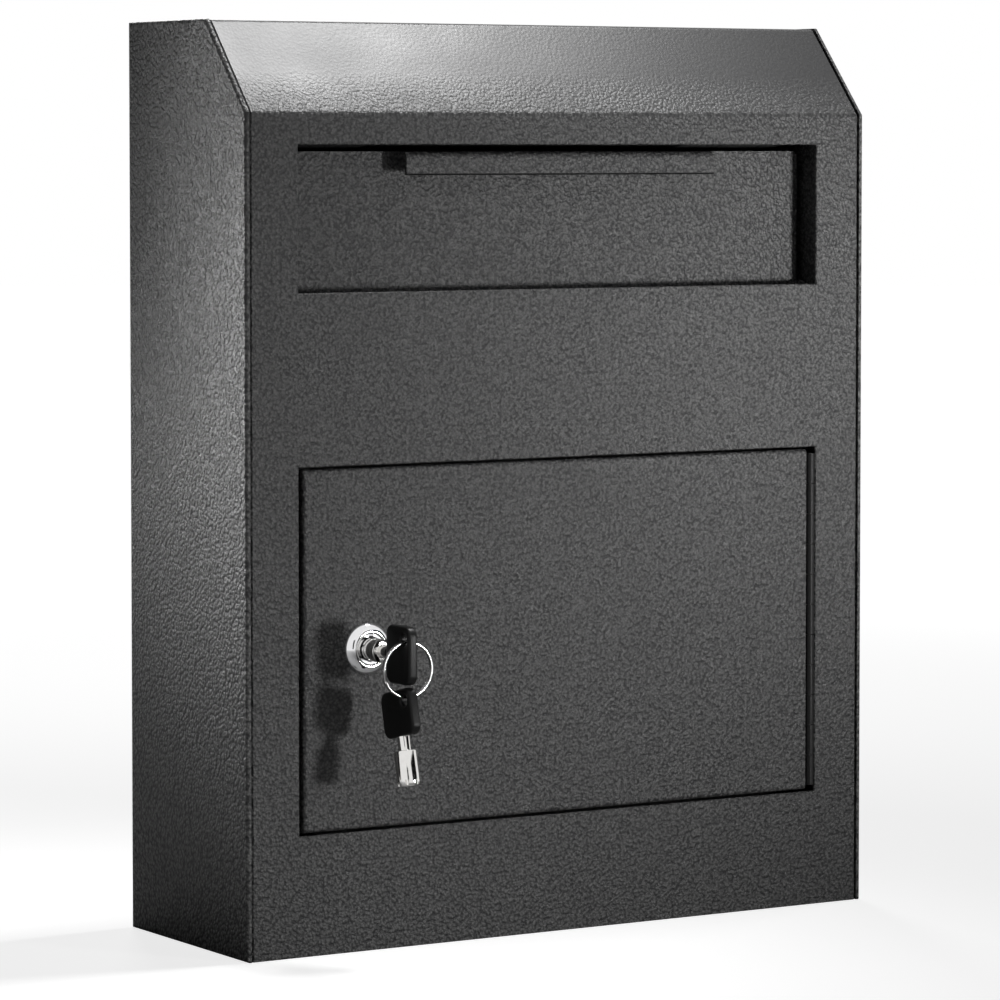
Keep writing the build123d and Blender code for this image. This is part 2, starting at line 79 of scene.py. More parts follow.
# --------------------------------------------------------------------------------------- materials
class NodeBoard:
    """A material's node tree with short ways to add and join nodes."""

    def __init__(self, name: str) -> None:
        """Starts an empty material.

        Args:
            name: The material's name.
        """
        self.material = bpy.data.materials.new(name)
        self.material.use_nodes = True
        self.tree = self.material.node_tree
        self.tree.nodes.clear()
        self.output = self.add("ShaderNodeOutputMaterial")

    def add(self, kind: str, **inputs: object) -> bpy.types.Node:
        """Adds a node and sets its sockets.

        Args:
            kind: Blender's name of the node type.
            **inputs: Socket values by name, with underscores for spaces.

        Returns:
            The new node.
        """
        node = self.tree.nodes.new(kind)
        for key, value in inputs.items():
            node.inputs[key.replace("_", " ")].default_value = value
        return node

    def join(self, source: Socket, target: Socket) -> None:
        """Links one socket to another."""
        self.tree.links.new(source, target)

    def place(self) -> Socket:
        """Returns a socket that gives the point on the object, in metres."""
        return self.add("ShaderNodeTexCoord").outputs["Object"]

    def noise(self, place: Socket, size: float, detail: float = 2.0) -> Socket:
        """Adds soft noise.

        Args:
            place: The coordinates.
            size: The size of its blotches in metres.
            detail: How many finer layers it has.

        Returns:
            The noise's value, about 0.5.
        """
        node = self.add("ShaderNodeTexNoise", Scale=1 / size, Detail=detail, Roughness=0.5)
        self.join(place, node.inputs["Vector"])
        return node.outputs["Fac"]

    def cells(self, place: Socket, size: float, smooth: float) -> Socket:
        """Adds rounded cells.

        Args:
            place: The coordinates.
            size: The size of a cell in metres.
            smooth: How softly neighbours run together.

        Returns:
            The distance from the cell's middle.
        """
        node = self.add("ShaderNodeTexVoronoi", Scale=1 / size)
        node.feature = "SMOOTH_F1"
        node.inputs["Smoothness"].default_value = smooth
        self.join(place, node.inputs["Vector"])
        return node.outputs["Distance"]

    def span(self, value: Socket, old: Range, new: Range) -> Socket:
        """Maps a value from one range to another.

        Args:
            value: The socket to map.
            old: The range it has.
            new: The range it gets.

        Returns:
            The mapped value.
        """
        (start, end), (low, high) = old, new
        node = self.add("ShaderNodeMapRange", From_Min=start, From_Max=end, To_Min=low, To_Max=high)
        self.join(value, node.inputs["Value"])
        return node.outputs["Result"]

    def blend(self, share: Socket, low: Colour, high: Colour) -> Socket:
        """Mixes two colours by a share.

        Args:
            share: 0 for low, 1 for high.
            low: The first colour.
            high: The second colour.

        Returns:
            The mixed colour.
        """
        node = self.add("ShaderNodeMix")
        node.data_type = "RGBA"
        first, second = (socket for socket in node.inputs if socket.type == "RGBA")
        first.default_value = (*low, 1)
        second.default_value = (*high, 1)
        self.join(share, node.inputs["Factor"])
        return next(socket for socket in node.outputs if socket.type == "RGBA")

    def sum(self, first: Socket, second: Socket, weight: float = 1.0) -> Socket:
        """Adds one value to another.

        Args:
            first: The first value.
            second: The second value.
            weight: How many times the second one counts.

        Returns:
            The sum.
        """
        node = self.add("ShaderNodeMath")
        node.operation = "MULTIPLY_ADD"
        self.join(second, node.inputs[0])
        node.inputs[1].default_value = weight
        self.join(first, node.inputs[2])
        return node.outputs["Value"]

    def product(self, first: Socket, second: Socket) -> Socket:
        """Multiplies two values.

        Args:
            first: The first value.
            second: The second value.

        Returns:
            The product.
        """
        node = self.add("ShaderNodeMath")
        node.operation = "MULTIPLY"
        self.join(first, node.inputs[0])
        self.join(second, node.inputs[1])
        return node.outputs["Value"]

    def reach(self) -> Socket:
        """Measures how far a point lies from the origin.

        Returns:
            The distance in metres.
        """
        node = self.add("ShaderNodeVectorMath")
        node.operation = "LENGTH"
        self.join(self.place(), node.inputs[0])
        return node.outputs["Value"]

    def rise(self, place: Socket) -> Socket:
        """Measures how high a point lies.

        Args:
            place: The coordinates.

        Returns:
            The height in metres.
        """
        node = self.add("ShaderNodeSeparateXYZ")
        self.join(place, node.inputs["Vector"])
        return node.outputs["Z"]

    def relief(self, height: Socket, depth: float, share: Socket | None = None) -> Socket:
        """Adds a bump.

        Args:
            height: The height from 0 to 1.
            depth: What 1 stands for, in metres.
            share: How much of it shows. All of it if None.

        Returns:
            The bent normal.
        """
        node = self.add("ShaderNodeBump", Strength=1.0, Distance=depth)
        self.join(height, node.inputs["Height"])
        if share is not None:
            self.join(share, node.inputs["Strength"])
        return node.outputs["Normal"]

    def principled(self, **inputs: object) -> bpy.types.Node:
        """Adds the surface shader and joins it to the output.

        Args:
            **inputs: Socket values by name, with underscores for spaces.

        Returns:
            The shader.
        """
        shader = self.add("ShaderNodeBsdfPrincipled", **inputs)
        self.join(shader.outputs["BSDF"], self.output.inputs["Surface"])
        return shader


@dataclass(frozen=True)
class PowderCoat:
    """Black powder coat, baked to a fine pebbled skin."""

    name: str
    base: Colour = (0.02, 0.02, 0.021)
    fleck: Colour = (0.13, 0.13, 0.128)
    roughness: float = 0.4
    gloss: float = 0.3
    pebble: float = 1.35 * MM
    grit: float = 0.7 * MM
    grit_share: float = 0.8
    depth: float = 0.4 * MM
    pebble_merge: float = 0.6
    pebble_reach: float = 0.8
    pale_heights: Range = (0.55, 1.25)
    slope_heights: Range = (0.335, 0.36)
    slope_share: float = 0.1
    drift_pebbles: float = 40
    drift_rub: float = 0.03

    def build(self) -> bpy.types.Material:
        """Builds the coat. It has flowed out smoother on the slope of the hood.

        Returns:
            The material.
        """
        board = NodeBoard(self.name)
        place = board.place()
        pebbles = board.cells(place, self.pebble, self.pebble_merge)
        grit = board.noise(place, self.grit, 1.0)
        drift = board.noise(place, self.drift_pebbles * self.pebble, 2.0)
        shader = board.principled(Specular_IOR_Level=self.gloss)
        domes = board.span(pebbles, (0.0, self.pebble_reach), (1.0, 0.0))
        height = board.sum(domes, grit, self.grit_share)
        flow = board.span(board.rise(place), self.slope_heights, (1.0, self.slope_share))
        board.join(board.relief(height, self.depth, flow), shader.inputs["Normal"])
        crests = board.product(board.span(height, self.pale_heights, (0.0, 1.0)), flow)
        board.join(board.blend(crests, self.base, self.fleck), shader.inputs["Base Color"])
        rough = (self.roughness - self.drift_rub, self.roughness + self.drift_rub)
        board.join(board.span(drift, NOISE_SWING, rough), shader.inputs["Roughness"])
        return board.material


@dataclass(frozen=True)
class PlatedMetal:
    """Plated or polished metal, with a faint rub in its gloss."""

    name: str
    base: Colour
    roughness: float
    rub: float = 0.03
    rub_size: float = 2 * MM
    rub_detail: float = 4.0
    rub_shade: float = 0.9
    smoothest: float = 0.02
    depth: float = 0.004 * MM

    def build(self) -> bpy.types.Material:
        """Builds the plating.

        Returns:
            The material.
        """
        board = NodeBoard(self.name)
        place = board.place()
        rub = board.noise(place, self.rub_size, self.rub_detail)
        shader = board.principled(Metallic=1.0)
        dark = tuple(channel * self.rub_shade for channel in self.base)
        board.join(board.blend(rub, dark, self.base), shader.inputs["Base Color"])
        rough = (max(self.roughness - self.rub, self.smoothest), self.roughness + self.rub)
        board.join(board.span(rub, NOISE_SWING, rough), shader.inputs["Roughness"])
        board.join(board.relief(rub, self.depth), shader.inputs["Normal"])
        return board.material


@dataclass(frozen=True)
class MouldedPlastic:
    """Moulded plastic with a fine spark-eroded skin."""

    name: str
    base: Colour
    gloss: float = 0.5
    roughness: float = 0.38
    grain: float = 0.25 * MM
    grain_lift: float = 1.25
    grain_rub: float = 0.05
    depth: float = 0.012 * MM

    def build(self) -> bpy.types.Material:
        """Builds the plastic.

        Returns:
            The material.
        """
        board = NodeBoard(self.name)
        place = board.place()
        grain = board.noise(place, self.grain, 2.0)
        shader = board.principled(Specular_IOR_Level=self.gloss)
        lighter = tuple(channel * self.grain_lift for channel in self.base)
        board.join(board.blend(grain, self.base, lighter), shader.inputs["Base Color"])
        rough = (self.roughness - self.grain_rub, self.roughness + self.grain_rub)
        board.join(board.span(grain, NOISE_SWING, rough), shader.inputs["Roughness"])
        board.join(board.relief(grain, self.depth), shader.inputs["Normal"])
        return board.material


CABINET_COAT = PowderCoat("cabinet_coat")
# Painted light: the side panels get a copy of the black coat with lighter flecks than the front's,
# so that they read brighter; its coarser pebbles and deeper relief are bump.
SIDE_COAT_PAINTED_LIGHT = PowderCoat(
    "side_coat_painted_light",
    fleck=(0.17, 0.17, 0.166),
    pebble=1.6 * MM,
    grit=0.9 * MM,
    depth=0.45 * MM,
    slope_share=1.0,
)
DOOR_COAT = PowderCoat("door_coat")
HOPPER_COAT = PowderCoat("hopper_coat")
# Painted shade: a near-black, dull copy of the black coat on the bead along the pull lip's lower
# edge, standing in for the shade under the lip.
PULL_EDGE_PAINTED_SHADE = PowderCoat(
    "pull_edge_painted_shade",
    base=(0.004, 0.004, 0.004),
    fleck=(0.007, 0.007, 0.007),
    gloss=0.12,
    depth=0.03 * MM,
)
# Painted shade: a darker, duller copy of the black coat on the hinge leaves, so that the hinge
# reads as a dark line along the door's edge; its smaller pebbles and shallower relief are bump.
HINGE_COAT_PAINTED_SHADE = PowderCoat(
    "hinge_coat_painted_shade",
    base=(0.012, 0.012, 0.012),
    fleck=(0.02, 0.02, 0.02),
    gloss=0.14,
    pebble=0.9 * MM,
    depth=0.05 * MM,
)
CHROME = PlatedMetal("chrome", base=(0.82, 0.82, 0.83), roughness=0.07)
NICKEL = PlatedMetal("key_nickel", base=(0.78, 0.77, 0.75), roughness=0.1)
RING_STEEL = PlatedMetal("ring_steel", base=(0.8, 0.8, 0.8), roughness=0.12)
ZINC = PlatedMetal("zinc_plate", base=(0.6, 0.61, 0.63), roughness=0.34, rub=0.1, rub_size=6 * MM)
BOW_PLASTIC = MouldedPlastic("bow_plastic", base=(0.008, 0.008, 0.008), gloss=0.16)
# Painted shade: the hinge pin is a dark, dull copy of steel, so that the pin between the knuckles
# reads as dark gaps at the knuckle joints.
HINGE_PIN_PAINTED_SHADE = PlatedMetal("hinge_pin_painted_shade", base=(0.09, 0.09, 0.09), roughness=0.6, rub=0.1)
NYLON = MouldedPlastic("nylon", base=(0.72, 0.71, 0.66), roughness=0.5)

Finish = PowderCoat | PlatedMetal | MouldedPlastic


class Wardrobe:
    """Builds each finish once and dresses pieces in it."""

    def __init__(self) -> None:
        """Starts with no material built."""
        self.built: dict[str, bpy.types.Material] = {}

    def material(self, finish: Finish) -> bpy.types.Material:
        """Finds a finish's material, and builds it the first time.

        Args:
            finish: The finish.

        Returns:
            The material.
        """
        if finish.name not in self.built:
            self.built[finish.name] = finish.build()
        return self.built[finish.name]

    def dress(self, finish: Finish, *objects: bpy.types.Object) -> None:
        """Gives objects that finish.

        Args:
            finish: The finish.
            *objects: The objects.
        """
        for item in objects:
            item.data.materials.clear()
            item.data.materials.append(self.material(finish))

    def dress_nodes(self, finish: Finish, *names: str) -> None:
        """Gives CAD nodes that finish.

        Args:
            finish: The finish.
            *names: The nodes' names.
        """
        for name in names:
            self.dress(finish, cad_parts[name])
            log.info("node %s in %s", name, finish.name)


# ------------------------------------------------------------------------------------ piece making
def square_up(across: Vector, along: Vector, place: Vector) -> Matrix:
    """Makes the frame of a piece from two of its directions.

    Args:
        across: Where its X points.
        along: Where its Y points.
        place: Where its origin is, in metres.

    Returns:
        The matrix from the piece's own metres to the model's.
    """
    turned = Matrix((across, along, across.cross(along))).transposed().to_4x4()
    return Matrix.Translation(place) @ turned


def crease(mesh: bpy.types.Mesh, limit: float = 32.0) -> None:
    """Shades a mesh smooth, with sharp edges where it bends strongly.

    Args:
        mesh: The mesh.
        limit: The bend in degrees from which an edge is sharp.
    """
    work = bmesh.new()
    work.from_mesh(mesh)
    bmesh.ops.recalc_face_normals(work, faces=work.faces)
    for edge in work.edges:
        edge.smooth = len(edge.link_faces) == 2 and edge.calc_face_angle() < math.radians(limit)
    for face in work.faces:
        face.smooth = True
    work.to_mesh(mesh)
    work.free()


def seat(name: str, mesh: bpy.types.Mesh, body: Body, slot: str, *nodes: str) -> bpy.types.Object:
    """Puts a piece into the scene in place of CAD nodes.

    Args:
        name: The piece's name.
        mesh: Its mesh, in the model's metres.
        body: The body it moves with.
        slot: The record's material slot. It is not used.
        *nodes: The nodes it stands for, if any.

    Returns:
        The piece.
    """
    crease(mesh)
    piece = bpy.data.objects.new(name, mesh)
    bpy.context.scene.collection.objects.link(piece)
    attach(piece, body.value)
    if nodes:
        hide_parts(*nodes)
    log.info("piece %s on %s, %d faces", name, body.value, len(mesh.polygons))
    return piece


def skin(name: str, rings: Sequence[Sequence[Vector]], looped: bool = False) -> bpy.types.Mesh:
    """Joins rings of equally many points into a skin.

    Args:
        name: The mesh's name.
        rings: The rings, in order.
        looped: Whether the last ring joins the first. If not, both ends are capped.

    Returns:
        The mesh.
    """
    work = bmesh.new()
    rows = [[work.verts.new(point) for point in ring] for ring in rings]
    count = len(rows[0])
    pairs = list(zip(rows, rows[1:]))
    if looped:
        pairs.append((rows[-1], rows[0]))
    for low, high in pairs:
        for at in range(count):
            after = (at + 1) % count
            work.faces.new((low[at], low[after], high[after], high[at]))
    if not looped:
        work.faces.new(rows[0])
        work.faces.new(rows[-1])
    mesh = bpy.data.meshes.new(name)
    work.to_mesh(mesh)
    work.free()
    return mesh


@dataclass
class KeyHead:
    """The moulded plastic head of a key, with rounded edges and a round hole for the ring."""

    width: float = 23.6 * MM
    length: float = 18.8 * MM
    thickness: float = 4.2 * MM
    corner: float = 4.0 * MM
    edge: float = 0.9 * MM
    edge_steps: int = 3
    hole_radius: float = 2.5 * MM
    hole_offset: float = 6.6 * MM
    hole_end: float = 4.8 * MM
    corner_steps: int = 8
    hole_steps: int = 32

    def outline(self) -> list[tuple[float, float]]:
        """Draws the outline with its rounded corners.

        Returns:
            Its points.
        """
        half = self.width / 2 - self.corner
        near, far = self.corner, self.length - self.corner
        turns = ((half, far, 0), (-half, far, 90), (-half, near, 180), (half, near, 270))
        points = []
        for x, y, start in turns:
            for step in range(self.corner_steps + 1):
                turn = math.radians(start + 90 * step / self.corner_steps)
                points.append((x + self.corner * math.cos(turn), y + self.corner * math.sin(turn)))
        return points

    def hole(self) -> list[tuple[float, float]]:
        """Draws the ring hole.

        Returns:
            The points round it.
        """
        turns = [FULL_TURN * step / self.hole_steps for step in range(self.hole_steps)]
        return [(self.hole_offset + self.hole_radius * math.cos(turn),
                 self.hole_end - self.hole_radius * math.sin(turn)) for turn in turns]

    def build(self, name: str, place: Matrix, body: Body, node: str) -> bpy.types.Object:
        """Builds the head.

        Args:
            name: The piece's name.
            place: The key's frame, with X to the ring hole, Y along the key to its tip, and
                the origin at its outer end.
            body: The body it moves with.
            node: The node it stands for.

        Returns:
            The piece.
        """
        curve = bpy.data.curves.new(name + "_outline", "CURVE")
        curve.dimensions = "2D"
        curve.fill_mode = "BOTH"
        for points in (self.outline(), self.hole()):
            spline = curve.splines.new("POLY")
            spline.points.add(len(points) - 1)
            for knot, (x, y) in zip(spline.points, points):
                knot.co = (x, y, 0, 1)
            spline.use_cyclic_u = True
        curve.bevel_depth = self.edge
        curve.bevel_resolution = self.edge_steps
        curve.offset = -self.edge
        curve.extrude = self.thickness / 2 - self.edge
        pattern = bpy.data.objects.new(name + "_pattern", curve)
        mesh = bpy.data.meshes.new_from_object(pattern)
        mesh.name = name
        mesh.materials.clear()
        bpy.data.objects.remove(pattern)
        bpy.data.curves.remove(curve)
        work = bmesh.new()
        work.from_mesh(mesh)
        bmesh.ops.remove_doubles(work, verts=work.verts, dist=WELD)
        work.to_mesh(mesh)
        work.free()
        mesh.transform(place)
        return seat(name, mesh, body, "key_plastic", node)


@dataclass
class KeyShank:
    """The turned metal of a key: a neck, a shoulder and the hollow, notched barrel."""

    start: float = 18.8 * MM
    neck_radius: float = 2.6 * MM
    neck_length: float = 5.9 * MM
    barrel_radius: float = 4.8 * MM
    barrel_length: float = 14.0 * MM
    bore_radius: float = 3.7 * MM
    bore_depth: float = 11.0 * MM
    bore_tip: float = 1.0 * MM
    edge: float = 0.35 * MM
    bore_middle: float = 0.2
    notch_wall: float = 0.01 * MM
    notch_depth: float = 0.7 * MM
    notch_length: float = 2.2 * MM
    notch_turn: float = 15.0
    notches: int = 7
    sides: int = 84

    def profile(self) -> list[tuple[float, float, bool]]:
        """Draws half of the metal's section, with its edges broken.

        Returns:
            Radius, place along the key, and whether the notches cut there, from the head to the
            bottom of the bore.
        """
        neck, barrel, bore = self.neck_radius, self.barrel_radius, self.bore_radius
        shoulder = self.neck_length
        tip = shoulder + self.barrel_length
        cut = tip - self.notch_length
        floor = tip - self.bore_depth

        def at(radius: float, along: float, out: float = 0, on: float = 0, notched: bool = False
               ) -> tuple[float, float, bool]:
            """Returns a point, moved outward and onward by so many edges."""
            return radius + out * self.edge, along + on * self.edge, notched

        return [
            at(neck, 0),
            at(neck, shoulder, 0, -2),
            at(neck, shoulder, 0.3, -0.5),
            at(neck, shoulder, 1),
            at(barrel, shoulder, -1),
            at(barrel, shoulder, -0.3, 0.3),
            at(barrel, shoulder, 0, 1),
            at(barrel, cut - self.notch_wall),
            at(barrel, cut, notched=True),
            at(barrel, tip, 0, -1, notched=True),
            at(barrel, tip, -0.5, notched=True),
            at(bore, tip, 0.2, notched=True),
            at(bore, tip, 0, -0.4),
            at(bore, floor),
            at(self.bore_middle * bore, floor - self.bore_tip),
        ]

    def build(self, name: str, place: Matrix, body: Body, node: str) -> bpy.types.Object:
        """Builds the metal part.

        Args:
            name: The piece's name.
            place: The key's frame, with X to the ring hole, Y along the key to its tip, and
                the origin at its outer end.
            body: The body it moves with.
            node: The node it stands for.

        Returns:
            The piece.
        """
        rings = []
        apart = ROUND / self.notches
        for radius, along, notched in self.profile():
            ring = []
            for side in range(self.sides):
                turn = ROUND * side / self.sides
                off = (turn - ROUND / 4 + apart / 2) % apart - apart / 2
                deep = notched and abs(off) < self.notch_turn / 2
                reach = min(radius, self.barrel_radius - self.notch_depth) if deep else radius
                angle = math.radians(turn)
                ring.append(place @ Vector((reach * math.cos(angle), self.start + along,
                                            -reach * math.sin(angle))))
            rings.append(ring)
        return seat(name, skin(name, rings), body, "key_nickel", node)


@dataclass
class SplitRing:
    """Coils of square wire wound side by side, with the ramp between them and cut ends."""

    wire: float = 0.88 * MM
    wire_edge: float = 0.16 * MM
    coils: int = 2
    pitch: float = 0.9 * MM
    ramp: float = 26.0
    ramp_at: float = 205.0
    steps: int = 84

    def section(self) -> list[tuple[float, float]]:
        """Draws the wire's rounded section.

        Returns:
            Its points.
        """
        half = self.wire / 2 - self.wire_edge
        corners = ((half, half, 0), (-half, half, 90), (-half, -half, 180), (half, -half, 270))
        return [
            (x + self.wire_edge * math.cos(math.radians(start + turn)),
             y + self.wire_edge * math.sin(math.radians(start + turn)))
            for x, y, start in corners
            for turn in (0, 45, 90)
        ]

    def shift(self, turn: float) -> float:
        """Returns how far along the axis the wire lies, so many degrees from its first end."""
        climb = min(max((turn - ROUND + self.ramp) / self.ramp, 0), 1)
        return self.pitch * (climb * climb * (3 - 2 * climb) - 0.5)

    def build(self, name: str, centre: Vector, radius: float) -> bpy.types.Object:
        """Builds the ring.

        Args:
            name: The piece's name.
            centre: Its centre.
            radius: The radius of the wire's middle line.

        Returns:
            The piece.
        """
        whole = self.coils * ROUND - self.ramp
        count = round(self.steps * whole / ROUND)
        rings = []
        for step in range(count + 1):
            turn = whole * step / count
            angle = math.radians(turn + self.ramp_at)
            outward = Vector((math.cos(angle), 0, math.sin(angle)))
            rings.append([
                centre + outward * (radius + x) + Vector((0, y + self.shift(turn), 0))
                for x, y in self.section()
            ])
        return seat(name, skin(name, rings), Body.RING, "ring_steel", "key_ring")


@dataclass
class LockBarrel:
    """The lock's housing: a crowned bezel, and a threaded barrel with two flats."""

    bore: float = 6.25 * MM
    bezel: tuple[tuple[float, float], ...] = (
        (6.25, -3.3), (6.4, -3.72), (6.8, -3.95), (7.3, -4.0), (7.9, -3.86), (8.6, -3.5),
        (9.3, -2.98), (9.9, -2.4), (10.35, -1.85), (10.65, -1.3), (10.75, -0.8), (10.75, -0.2),
        (10.6, 0.0),
    )  # radius and place along the axis, in millimetres
    bore_edge: float = 0.3 * MM
    thread_radius: float = 9.0 * MM
    thread_depth: float = 0.5 * MM
    thread_pitch: float = 1.0 * MM
    steps_per_pitch: int = 4
    flat: float = 8.0 * MM
    length: float = 16.0 * MM
    sides: int = 72

    def build(self, name: str, place: Vector) -> bpy.types.Object:
        """Builds the housing.

        Args:
            name: The piece's name.
            place: Where its axis meets the door's front.

        Returns:
            The piece.
        """
        turns = [FULL_TURN * side / self.sides for side in range(self.sides)]

        def circle(radius: float, along: float) -> list[Vector]:
            """Returns a ring of points of that radius, so far along the axis."""
            return [place + Vector((radius * math.cos(turn), along, radius * math.sin(turn)))
                    for turn in turns]

        rings = [circle(self.bore, self.length - self.bore_edge)]
        rings += [circle(radius * MM, along * MM) for radius, along in self.bezel]
        count = round(self.length / self.thread_pitch * self.steps_per_pitch)
        for step in range(count + 1):
            along = self.length * step / count
            run_out = min((self.length - along) / self.thread_pitch, 1)
            ring = []
            for side, turn in enumerate(turns):
                phase = (along / self.thread_pitch + side / self.sides) % 1
                cut = 1 - abs(2 * phase - 1)
                radius = self.thread_radius - self.thread_depth * (cut * run_out + 1 - run_out)
                x = min(max(radius * math.cos(turn), -self.flat), self.flat)
                ring.append(place + Vector((x, along, radius * math.sin(turn))))
            rings.append(ring)
        rings.append(circle(self.bore + self.bore_edge, self.length))
        return seat(name, skin(name, rings, looped=True), Body.DOOR, "chrome", "lock_housing")


# ---------------------------------------------------------------------------------- sub-assemblies
@dataclass
class Cabinet:
    """The welded body with what is fixed inside it."""

    sides: tuple[str, ...] = ("side_panel_left", "side_panel_right")
    coated: tuple[str, ...] = (
        "back_panel",
        "bottom_panel",
        "front_shell",
        "strike_rail",
        "door_stop_top",
        "door_stop_bottom",
    )

    def dress(self, wardrobe: Wardrobe) -> None:
        """Gives the cabinet's sheets their coat.

        Args:
            wardrobe: Where the finishes are.
        """
        # The side panels wear painted light: the lighter-flecked copy of the coat.
        wardrobe.dress_nodes(SIDE_COAT_PAINTED_LIGHT, *self.sides)
        wardrobe.dress_nodes(CABINET_COAT, *self.coated)


@dataclass
class Hopper:
    """The tilting hopper, its carriers and the shield round its sweep."""

    coated: tuple[str, ...] = (
        "hopper_pan",
        "hopper_wing_left",
        "hopper_wing_right",
        "cheek_left",
        "cheek_right",
        "fishing_shield",
    )
    plated: tuple[str, ...] = ("hopper_rod", "rod_clip_left", "rod_clip_right")
    bushes: tuple[str, ...] = ("rod_bush_left", "rod_bush_right")
    sheet: float = 1.5 * MM
    lip_width: float = 152.0 * MM
    lip_height: float = 9.0 * MM
    bead_steps: int = 10

    def build(self) -> bpy.types.Object:
        """Builds the bead that rounds off the lower edge of the pull lip.

        Returns:
            The bead.
        """
        low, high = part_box("hopper_pan")
        radius = self.sheet / 2
        middle = Vector((0, low.y + radius, high.z - self.lip_height))
        turns = [math.pi * (1 + step / self.bead_steps) for step in range(self.bead_steps + 1)]
        arc = [(radius * math.cos(turn), radius * math.sin(turn)) for turn in turns]
        rings = [
            [middle + Vector((end, *point)) for point in arc]
            for end in (-self.lip_width / 2, self.lip_width / 2)
        ]
        return seat("pull_bead", skin("pull_bead", rings), Body.HOPPER, "hopper_paint")

    def dress(self, wardrobe: Wardrobe) -> None:
        """Builds the bead, gives it painted shade, and gives the hopper's other pieces their
        finishes.

        Args:
            wardrobe: Where the finishes are.
        """
        # The bead wears painted shade: the near-black copy of the coat stands in for the shade
        # under the pull lip.
        wardrobe.dress(PULL_EDGE_PAINTED_SHADE, self.build())
        wardrobe.dress_nodes(HOPPER_COAT, *self.coated)
        wardrobe.dress_nodes(ZINC, *self.plated)
        wardrobe.dress_nodes(NYLON, *self.bushes)


@dataclass
class Door:
    """The folded door and its piano hinge."""

    panel: str = "door_panel"
    leaves: tuple[str, ...] = ("hinge_leaf_frame", "hinge_leaf_door")
    pin: str = "hinge_pin"

    def dress(self, wardrobe: Wardrobe) -> None:
        """Gives the door and its hinge their finishes.

        Args:
            wardrobe: Where the finishes are.
        """
        wardrobe.dress_nodes(DOOR_COAT, self.panel)
        # The hinge leaves wear painted shade: the darker copy of the black coat.
        wardrobe.dress_nodes(HINGE_COAT_PAINTED_SHADE, *self.leaves)
        # The pin wears painted shade: a dark copy of steel, so that the knuckle joints read dark.
        wardrobe.dress_nodes(HINGE_PIN_PAINTED_SHADE, self.pin)


@dataclass
class Lock:
    """The tubular cam lock."""

    bright: tuple[str, ...] = ("lock_housing", "lock_plug")
    plated: tuple[str, ...] = ("lock_nut", "lock_cam", "cam_nut")
    bezel_height: float = 4.0 * MM
    barrel: LockBarrel = field(default_factory=LockBarrel)

    def build(self) -> bpy.types.Object:
        """Builds the housing where its node is.

        Returns:
            The housing.
        """
        low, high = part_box("lock_housing")
        middle = (low + high) / 2
        front = Vector((middle.x, low.y + self.bezel_height, middle.z))
        return self.barrel.build("threaded_housing", front)

    def dress(self, wardrobe: Wardrobe) -> None:
        """Builds the housing and gives the lock's pieces their finishes.

        Args:
            wardrobe: Where the finishes are.
        """
        wardrobe.dress(CHROME, self.build())
        wardrobe.dress_nodes(CHROME, *self.bright)
        wardrobe.dress_nodes(ZINC, *self.plated)


@dataclass
class Keys:
    """The key in the lock, the spare key and the ring that joins them."""

    bows: tuple[str, ...] = ("key_bow", "spare_bow")
    barrels: tuple[str, ...] = ("key_barrel", "spare_barrel")
    ring: str = "key_ring"
    wire: float = 0.9 * MM
    drop: float = 1.1 * MM
    spare_tilt: float = 13.0
    head: KeyHead = field(default_factory=KeyHead)
    shank: KeyShank = field(default_factory=KeyShank)
    coils: SplitRing = field(default_factory=SplitRing)

    def places(self) -> tuple[Matrix, Matrix, Vector, float]:
        """Works out where the keys and the ring are.

        Returns:
            The frames of the inserted and the spare key, the ring's centre and its radius.
        """
        low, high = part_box("key_bow")
        middle = (low + high) / 2
        origin = Vector((middle.x, low.y, middle.z))
        inserted = square_up(Vector((0, 0, 1)), Vector((0, 1, 0)), origin)
        low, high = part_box("key_ring")
        centre = (low + high) / 2
        radius = (high.z - low.z - self.wire) / 2
        tilt = math.radians(self.spare_tilt)
        down = Vector((0, -math.sin(tilt), -math.cos(tilt)))
        across = Vector((0, -math.cos(tilt), math.sin(tilt)))
        hole = centre - Vector((0, 0, radius + self.drop))
        origin = hole - across * self.head.hole_offset - down * self.head.hole_end
        return inserted, square_up(across, down, origin), centre, radius

    def dress(self, wardrobe: Wardrobe) -> None:
        """Builds the keys and the ring and gives them their finishes.

        Args:
            wardrobe: Where the finishes are.
        """
        inserted, spare, centre, radius = self.places()
        heads = (
            self.head.build("key_head", inserted, Body.KEY, "key_bow"),
            self.head.build("spare_head", spare, Body.SPARE_KEY, "spare_bow"),
        )
        shanks = (
            self.shank.build("key_shank", inserted, Body.KEY, "key_barrel"),
            self.shank.build("spare_shank", spare, Body.SPARE_KEY, "spare_barrel"),
        )
        wardrobe.dress(BOW_PLASTIC, *heads)
        wardrobe.dress(NICKEL, *shanks)
        wardrobe.dress(RING_STEEL, self.coils.build("split_ring", centre, radius))
        wardrobe.dress_nodes(BOW_PLASTIC, *self.bows)
        wardrobe.dress_nodes(NICKEL, *self.barrels)
        wardrobe.dress_nodes(RING_STEEL, self.ring)


# ------------------------------------------------------------------------------------------ studio
@dataclass(frozen=True)
class Lamp:
    """A soft box."""

    name: str
    place: Point
    aim: Point
    width: float
    height: float
    spread: float
    watts: float

    def build(self) -> bpy.types.Object:
        """Builds the lamp, hidden from the camera.

        Returns:
            The lamp.
        """
        data = bpy.data.lights.new(self.name, "AREA")
        data.shape = "RECTANGLE"
        data.size = self.width
        data.size_y = self.height
        data.spread = math.radians(self.spread)
        data.energy = self.watts
        lamp = bpy.data.objects.new(self.name, data)
        lamp.location = self.place
        lamp.rotation_mode = "QUATERNION"
        lamp.rotation_quaternion = (Vector(self.aim) - Vector(self.place)).to_track_quat("-Z", "Y")
        lamp.visible_camera = False
        bpy.context.scene.collection.objects.link(lamp)
        log.info("lamp %s of %.2f W", self.name, self.watts)
        return lamp


